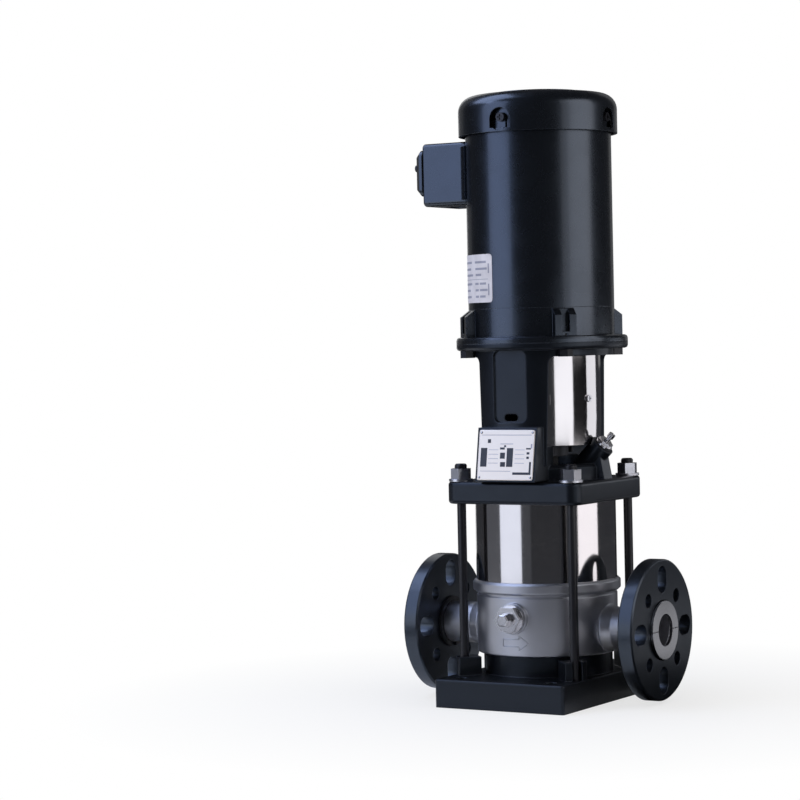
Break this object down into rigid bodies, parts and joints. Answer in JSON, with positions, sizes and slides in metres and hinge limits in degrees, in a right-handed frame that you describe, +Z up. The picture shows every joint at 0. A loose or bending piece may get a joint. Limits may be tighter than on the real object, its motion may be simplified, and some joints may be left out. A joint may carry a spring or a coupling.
{
  "type": "multistage pump",
  "caption": "Vertical in-line multistage pump with loose round flanges, a stainless sleeve round its stages, a motor stool with coupling guards and a fan-cooled motor on top.",
  "frame": {"origin": "middle of the base plate's underside", "axes": "+Z up along the shaft, +X the way the liquid flows from inlet to outlet, -Y the front with the drain plug and the nameplate"},
  "size_m": [0.263, 0.212, 0.6105],
  "materials": {
    "black_paint": "semi-gloss black enamel",
    "black_casting": "semi-gloss black coat on iron",
    "cast_stainless": "bead-blasted stainless steel",
    "polished_steel": "polished stainless steel",
    "machined_steel": "machined stainless steel",
    "zinc_steel": "zinc-plated steel",
    "black_steel": "black-coated steel",
    "drawn_steel": "drawn stainless sheet",
    "bearing_steel": "ground bearing steel",
    "core_steel": "stacked electrical steel",
    "copper": "varnished copper wire",
    "rubber": "black elastomer",
    "seal_carbide": "lapped carbide and carbon",
    "black_plastic": "moulded plastic",
    "plate_metal": "satin aluminium sheet"
  },
  "bodies": {
    "pump": {"base_plate": "black_casting", "base_casting": "cast_stainless", "split_rings": "machined_steel", "flange_retainers": "black_steel", "drain_plug": "machined_steel", "sleeve": "polished_steel", "sleeve_gaskets": "rubber", "stay_bolts": "black_steel", "stay_nuts": "zinc_steel", "stay_washers": "zinc_steel", "chamber_1": "drawn_steel", "chamber_2": "drawn_steel", "chamber_3": "drawn_steel", "outlet_chamber": "drawn_steel", "stack_spring": "drawn_steel", "neck_rings": "seal_carbide", "bearing_spider": "cast_stainless", "bearing_bush": "seal_carbide", "pump_head": "black_casting", "gland_plate": "machined_steel", "gland_screws": "zinc_steel", "seal_seat": "seal_carbide", "coupling_guards": "polished_steel", "guard_screws": "machined_steel", "vent_plug": "machined_steel", "plug_washers": "machined_steel", "nameplate": "plate_metal", "drive_end_bell": "black_paint", "motor_bolts": "black_steel", "motor_frame": "black_paint", "stator_core": "core_steel", "stator_windings": "copper", "bearing_outer_rings": "bearing_steel", "fan_end_bell": "black_paint", "fan_cover": "black_paint", "cover_screws": "black_steel", "conduit_box": "black_paint", "conduit_gasket": "rubber", "conduit_lid": "black_paint", "conduit_screws": "black_steel", "terminal_block": "black_plastic"},
    "inlet_flange": {"inlet_flange": "black_casting"},
    "outlet_flange": {"outlet_flange": "black_casting"},
    "rotor": {"pump_shaft": "machined_steel", "shaft_nut": "machined_steel", "impeller_1": "drawn_steel", "impeller_2": "drawn_steel", "impeller_3": "drawn_steel", "seal_rotor": "rubber", "coupling_halves": "core_steel", "coupling_screws": "black_steel", "coupling_dowel": "machined_steel", "motor_shaft": "machined_steel", "rotor_core": "core_steel", "bearing_inner_rings": "bearing_steel", "fan": "black_plastic"},
    "bypass_screw": {"bypass_screw": "machined_steel", "bypass_o_ring": "rubber"},
    "vent_screw": {"vent_screw": "machined_steel", "vent_o_ring": "rubber"}
  },
  "joints": [
    {"name": "rotor_spin", "type": "hinge", "parent": "pump", "child": "rotor", "pos_m": [0, 0, 0.3], "axis": [0, 0, 1], "continuous": true},
    {"name": "inlet_flange_turn", "type": "hinge", "parent": "pump", "child": "inlet_flange", "pos_m": [-0.1205, 0, 0.0735], "axis": [-1, 0, 0], "continuous": true},
    {"name": "outlet_flange_turn", "type": "hinge", "parent": "pump", "child": "outlet_flange", "pos_m": [0.1205, 0, 0.0735], "axis": [1, 0, 0], "continuous": true},
    {"name": "bypass_turn", "type": "hinge", "parent": "pump", "child": "bypass_screw", "pos_m": [0, -0.0765, 0.0875], "axis": [0, -1, 0], "range_deg": [0, 720]},
    {"name": "vent_turn", "type": "hinge", "parent": "pump", "child": "vent_screw", "pos_m": [0.0665, 0, 0.256], "axis": [0.7071, 0, 0.7071], "range_deg": [0, 720]}
  ]
}
